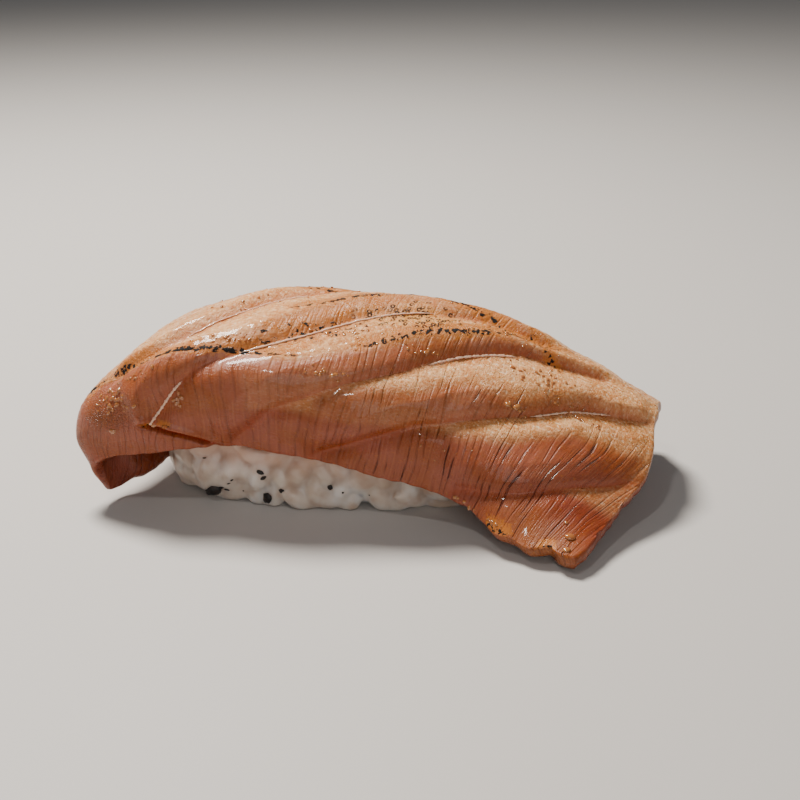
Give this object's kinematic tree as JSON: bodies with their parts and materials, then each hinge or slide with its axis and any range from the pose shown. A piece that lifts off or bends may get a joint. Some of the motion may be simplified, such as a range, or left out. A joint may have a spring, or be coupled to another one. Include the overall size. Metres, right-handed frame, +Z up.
{
  "type": "salmon nigiri",
  "caption": "Hand-pressed ball of sushi rice under a long draped slice of lightly seared salmon, its long corner hanging down to the front.",
  "frame": {"origin": "middle of the rice's flat foot, which stands on the table", "axes": "+X along the nigiri towards its low, long-cornered end; +Y towards the back edge of the slice; +Z up"},
  "size_m": [0.0731, 0.038, 0.0241],
  "materials": {
    "seared_salmon": "moist seared fish: tan, char-flecked crust on the band edges, brown-pink flesh between, glossy with fat",
    "sushi_rice": "moist, slightly translucent cooked rice, off-white, with a few charred black flecks"
  },
  "bodies": {
    "root": {"salmon_slice": "seared_salmon", "rice": "sushi_rice"}
  },
  "joints": []
}
